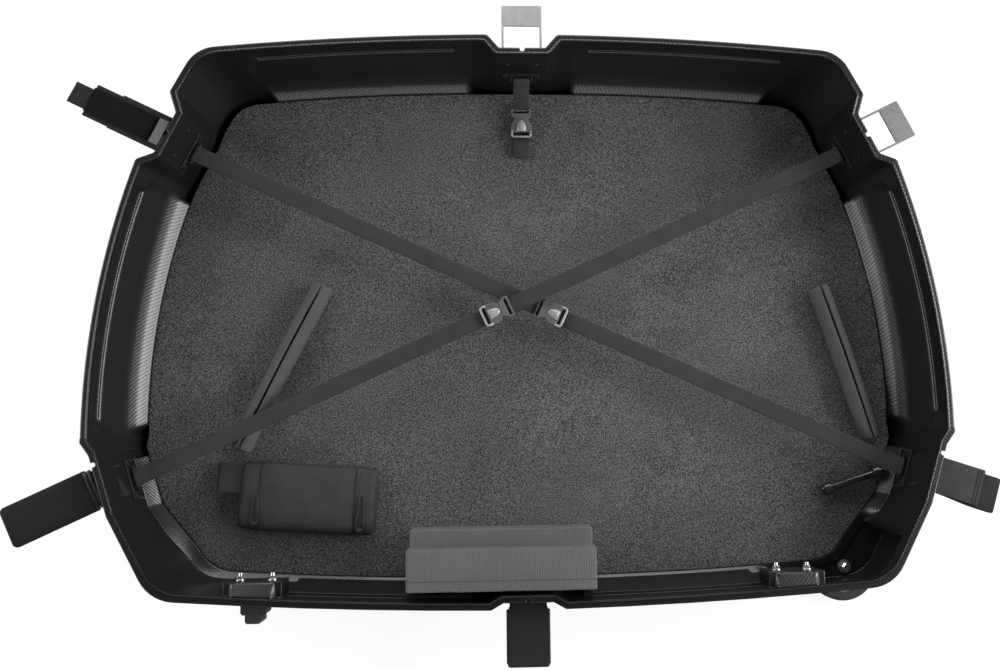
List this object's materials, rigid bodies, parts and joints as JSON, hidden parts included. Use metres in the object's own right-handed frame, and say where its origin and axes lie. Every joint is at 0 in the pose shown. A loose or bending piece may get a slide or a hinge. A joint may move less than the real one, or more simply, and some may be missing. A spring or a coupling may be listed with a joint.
{
  "type": "bike travel case half",
  "caption": "Open half of a hard bike travel case: tapered moulded tray with rim flange, foam mat, crossed straps with buckles, closure loops and straps, corner wheel and foot.",
  "frame": {"origin": "middle of the flat outer back face that the half lies on", "axes": "+X to the wheel's side along the case's length, +Y to the top edge, +Z out of the open side"},
  "size_m": [1.4675, 0.9946, 0.16],
  "materials": {
    "shell": "satin",
    "mat_foam": "matte",
    "block_foam": "matte",
    "sleeve_foam": "matte",
    "bag_cloth": "matte",
    "tyre_rubber": "matte",
    "wheel_plastic": "satin",
    "black_plastic": "gloss",
    "steel": "satin",
    "black_metal": "satin",
    "loop_metal": "satin",
    "closure_webbing": "matte",
    "inner_webbing": "matte",
    "hook_tape": "matte"
  },
  "bodies": {
    "case": {"anchor_rivets": "steel", "axle_bolt": "steel", "axle_nut": "steel", "axle_spacer": "steel", "axle_washer": "steel", "base_shell": "shell", "buckle_plug_cross_a": "black_plastic", "buckle_plug_cross_b": "black_plastic", "buckle_plug_top": "black_plastic", "buckle_socket_cross_a": "black_plastic", "buckle_socket_cross_b": "black_plastic", "buckle_socket_top": "black_plastic", "chain_bag": "bag_cloth", "chainring_block": "block_foam", "closure_bracket_bottom": "black_metal", "closure_bracket_lower_left": "black_metal", "closure_bracket_lower_right": "black_metal", "closure_bracket_top": "black_metal", "closure_bracket_upper_left": "black_metal", "closure_bracket_upper_right": "black_metal", "closure_rivets": "steel", "corner_foot": "tyre_rubber", "cross_strap_a_lower": "inner_webbing", "cross_strap_a_upper": "inner_webbing", "cross_strap_b_lower": "inner_webbing", "cross_strap_b_upper": "inner_webbing", "floor_mat": "mat_foam", "foot_bolts": "steel", "foot_nuts": "steel", "fork_spacer": "black_plastic", "skid_plate": "black_plastic", "strap_anchor_lower_left": "black_metal", "strap_anchor_lower_right": "black_metal", "strap_anchor_top": "black_metal", "strap_anchor_upper_left": "black_metal", "strap_anchor_upper_right": "black_metal", "strap_pins": "steel", "top_strap_lower": "inner_webbing", "top_strap_upper": "inner_webbing", "tube_sleeve_fork": "sleeve_foam", "tube_sleeve_rear": "sleeve_foam"},
    "wheel": {"wheel_tyre": "tyre_rubber", "wheel_core": "wheel_plastic", "wheel_bearings": "steel", "bearing_spacer": "steel"},
    "loop_top": {"closure_loop_top": "loop_metal"},
    "loop_upper_right": {"closure_loop_upper_right": "loop_metal"},
    "strap_upper_left": {"closure_strap_upper_left": "closure_webbing", "hook_pad_upper_left": "hook_tape"},
    "strap_lower_left": {"closure_strap_lower_left": "closure_webbing"},
    "strap_lower_right": {"closure_strap_lower_right": "closure_webbing"},
    "strap_bottom": {"closure_strap_bottom": "closure_webbing"},
    "prong_cross_a_left": {"buckle_prong_cross_a_left": "black_plastic"},
    "prong_cross_a_right": {"buckle_prong_cross_a_right": "black_plastic"},
    "prong_cross_b_left": {"buckle_prong_cross_b_left": "black_plastic"},
    "prong_cross_b_right": {"buckle_prong_cross_b_right": "black_plastic"},
    "prong_top_left": {"buckle_prong_top_left": "black_plastic"},
    "prong_top_right": {"buckle_prong_top_right": "black_plastic"}
  },
  "joints": [
    {"name": "wheel_spin", "type": "hinge", "parent": "case", "child": "wheel", "pos_m": [0.49699, -0.388, 0.014], "axis": [0, 0, 1], "continuous": true},
    {"name": "loop_top_swing", "type": "hinge", "parent": "case", "child": "loop_top", "pos_m": [0, 0.40404, 0.121], "axis": [1, 0, 0], "range_deg": [-80, 50]},
    {"name": "loop_upper_right_swing", "type": "hinge", "parent": "case", "child": "loop_upper_right", "pos_m": [0.52736, 0.27048, 0.12066], "axis": [0.4383, -0.8988, 0], "range_deg": [-80, 50]},
    {"name": "strap_upper_left_swing", "type": "hinge", "parent": "case", "child": "strap_upper_left", "pos_m": [-0.52736, 0.27048, 0.12066], "axis": [0.4383, 0.8988, 0], "range_deg": [-80, 45]},
    {"name": "strap_lower_left_swing", "type": "hinge", "parent": "case", "child": "strap_lower_left", "pos_m": [-0.60311, -0.24342, 0.12032], "axis": [-0.3097, 0.9508, 0], "range_deg": [-80, 45]},
    {"name": "strap_lower_right_swing", "type": "hinge", "parent": "case", "child": "strap_lower_right", "pos_m": [0.60311, -0.24342, 0.12032], "axis": [-0.3097, -0.9508, 0], "range_deg": [-80, 45]},
    {"name": "strap_bottom_swing", "type": "hinge", "parent": "case", "child": "strap_bottom", "pos_m": [0, -0.41662, 0.12153], "axis": [-1, 0, 0], "range_deg": [-80, 45]},
    {"name": "prong_cross_a_left_press", "type": "slide", "parent": "case", "child": "prong_cross_a_left", "axis": [-0.4157, -0.9095, 0], "range_m": [0, 0.0024], "stiffness_N_per_m": 1200},
    {"name": "prong_cross_a_right_press", "type": "slide", "parent": "case", "child": "prong_cross_a_right", "axis": [0.4157, 0.9095, 0], "range_m": [0, 0.0024], "stiffness_N_per_m": 1200},
    {"name": "prong_cross_b_left_press", "type": "slide", "parent": "case", "child": "prong_cross_b_left", "axis": [-0.4157, 0.9095, 0], "range_m": [0, 0.0024], "stiffness_N_per_m": 1200},
    {"name": "prong_cross_b_right_press", "type": "slide", "parent": "case", "child": "prong_cross_b_right", "axis": [0.4157, -0.9095, 0], "range_m": [0, 0.0024], "stiffness_N_per_m": 1200},
    {"name": "prong_top_left_press", "type": "slide", "parent": "case", "child": "prong_top_left", "axis": [-1, 0, 0], "range_m": [0, 0.0024], "stiffness_N_per_m": 1200},
    {"name": "prong_top_right_press", "type": "slide", "parent": "case", "child": "prong_top_right", "axis": [1, 0, 0], "range_m": [0, 0.0024], "stiffness_N_per_m": 1200}
  ],
  "couplings": [
    {"joint": "prong_cross_a_right_press", "follows": "prong_cross_a_left_press", "ratio": 1},
    {"joint": "prong_cross_b_right_press", "follows": "prong_cross_b_left_press", "ratio": 1},
    {"joint": "prong_top_right_press", "follows": "prong_top_left_press", "ratio": 1}
  ]
}
